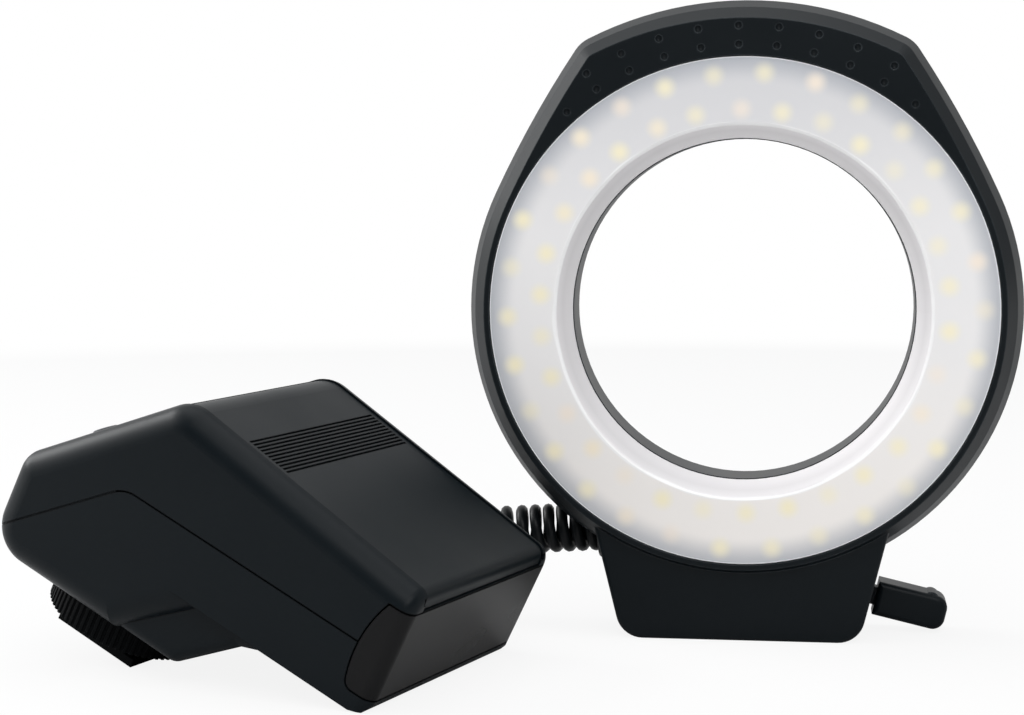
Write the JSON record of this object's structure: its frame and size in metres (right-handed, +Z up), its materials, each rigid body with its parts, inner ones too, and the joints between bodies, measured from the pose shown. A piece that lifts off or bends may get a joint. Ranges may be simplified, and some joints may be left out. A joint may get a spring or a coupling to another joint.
{
  "type": "macro ring light",
  "caption": "Macro LED light: a standing ring head with a frosted diffuser round its lens bore, joined by a curly cord to a wedge-shaped battery and control box on a camera shoe foot.",
  "frame": {"origin": "centre of the ring head's foot, where it stands on the table", "axes": "+Z up, -Y the way the ring shines, +X to the viewer's right; the lens leaves the bore to +Y"},
  "size_m": [0.2318, 0.1267, 0.1534],
  "materials": {
    "body_plastic": "fine satin texture",
    "cover_plastic": "satin",
    "knurled_plastic": "satin",
    "cord_rubber": "satin",
    "diffuser": "frosted translucent white",
    "smoked_window": "glossy, slightly translucent",
    "board": "white solder mask",
    "green_board": "satin",
    "led_body": "yellow phosphor",
    "white_plastic": "satin",
    "steel": "bright zinc plate",
    "brass": "gold plate",
    "button_rubber": "matte",
    "screen": "clear over a dark display",
    "lamp_red": "translucent",
    "cell_wrap": "plain wrapped metal can"
  },
  "bodies": {
    "light": {"head_front_bezel": "body_plastic", "head_rear_housing": "body_plastic", "diffuser_ring": "diffuser", "board_spacer": "white_plastic", "led_board": "board", "led_emitters": "led_body", "head_screws": "steel", "head_terminal_board": "green_board", "lever_pivot_pin": "steel", "latch_spring": "steel", "head_cord_gland": "cord_rubber", "curly_cord": "cord_rubber", "box_cord_gland": "cord_rubber", "upper_shell": "body_plastic", "lower_shell": "body_plastic", "front_window": "smoked_window", "control_panel": "cover_plastic", "switch_domes": "steel", "key_board": "green_board", "display_window": "screen", "display_module": "white_plastic", "pilot_lamp": "lamp_red", "battery_tray": "body_plastic", "battery_cells": "cell_wrap", "battery_contacts": "steel", "battery_springs": "steel", "main_board": "green_board", "shoe_foot": "knurled_plastic", "contact_spring": "steel", "foot_screws": "steel", "shell_screws": "steel"},
    "battery_door": {"battery_cover": "cover_plastic"},
    "foot_washer": {"lock_washer": "knurled_plastic"},
    "foot_wheel": {"lock_wheel": "knurled_plastic"},
    "sync_pin": {"contact_pin": "brass"},
    "switch_knob": {"power_switch": "knurled_plastic"},
    "lens_lever": {"release_lever": "body_plastic"},
    "lens_latch": {"latch_slider": "white_plastic"},
    "key_1": {"button_1": "button_rubber"},
    "key_2": {"button_2": "button_rubber"},
    "key_3": {"button_3": "button_rubber"},
    "key_4": {"button_4": "button_rubber"},
    "key_5": {"button_5": "button_rubber"}
  },
  "joints": [
    {"name": "battery_door_slide", "type": "slide", "parent": "light", "child": "battery_door", "axis": [0.7935, -0.25, -0.5548], "range_m": [0, 0.032]},
    {"name": "foot_washer_slide", "type": "slide", "parent": "light", "child": "foot_washer", "axis": [-0.4238, 0.1335, -0.8959], "range_m": [0, 0.0007]},
    {"name": "foot_wheel_turn", "type": "hinge", "parent": "foot_washer", "child": "foot_wheel", "pos_m": [-0.1438, -0.04704, 0.00489], "axis": [-0.4238, 0.1335, -0.8959], "range_deg": [0, 252]},
    {"name": "sync_pin_slide", "type": "slide", "parent": "light", "child": "sync_pin", "axis": [0.4238, -0.1335, 0.8959], "range_m": [0, 0.0006], "stiffness_N_per_m": 300, "springref_m": -0.001},
    {"name": "switch_slide", "type": "slide", "parent": "light", "child": "switch_knob", "axis": [0.3005, 0.9538, 0], "range_m": [0, 0.004]},
    {"name": "lens_lever_turn", "type": "hinge", "parent": "light", "child": "lens_lever", "pos_m": [0.014, 0.0066, 0.013], "axis": [0, -1, 0], "range_deg": [0, 14], "stiffness_Nm_per_rad": 0.06, "springref_deg": -14.32},
    {"name": "lens_latch_slide", "type": "slide", "parent": "light", "child": "lens_latch", "axis": [0, 0, -1], "range_m": [0, 0.0022], "deforming": ["latch_spring"]},
    {"name": "key_1_press", "type": "slide", "parent": "light", "child": "key_1", "axis": [0.2893, -0.0912, -0.9529], "range_m": [0, 0.0008], "stiffness_N_per_m": 1500, "springref_m": -0.0004},
    {"name": "key_2_press", "type": "slide", "parent": "light", "child": "key_2", "axis": [0.2893, -0.0912, -0.9529], "range_m": [0, 0.0008], "stiffness_N_per_m": 1500, "springref_m": -0.0004},
    {"name": "key_3_press", "type": "slide", "parent": "light", "child": "key_3", "axis": [0.2893, -0.0912, -0.9529], "range_m": [0, 0.0008], "stiffness_N_per_m": 1500, "springref_m": -0.0004},
    {"name": "key_4_press", "type": "slide", "parent": "light", "child": "key_4", "axis": [0.2893, -0.0912, -0.9529], "range_m": [0, 0.0008], "stiffness_N_per_m": 1500, "springref_m": -0.0004},
    {"name": "key_5_press", "type": "slide", "parent": "light", "child": "key_5", "axis": [0.2893, -0.0912, -0.9529], "range_m": [0, 0.0008], "stiffness_N_per_m": 1500, "springref_m": -0.0004}
  ],
  "couplings": [
    {"joint": "foot_washer_slide", "follows": "foot_wheel_turn", "m_per_rad": 0.00015915},
    {"joint": "lens_latch_slide", "follows": "lens_lever_turn", "m_per_rad": 0.009}
  ]
}
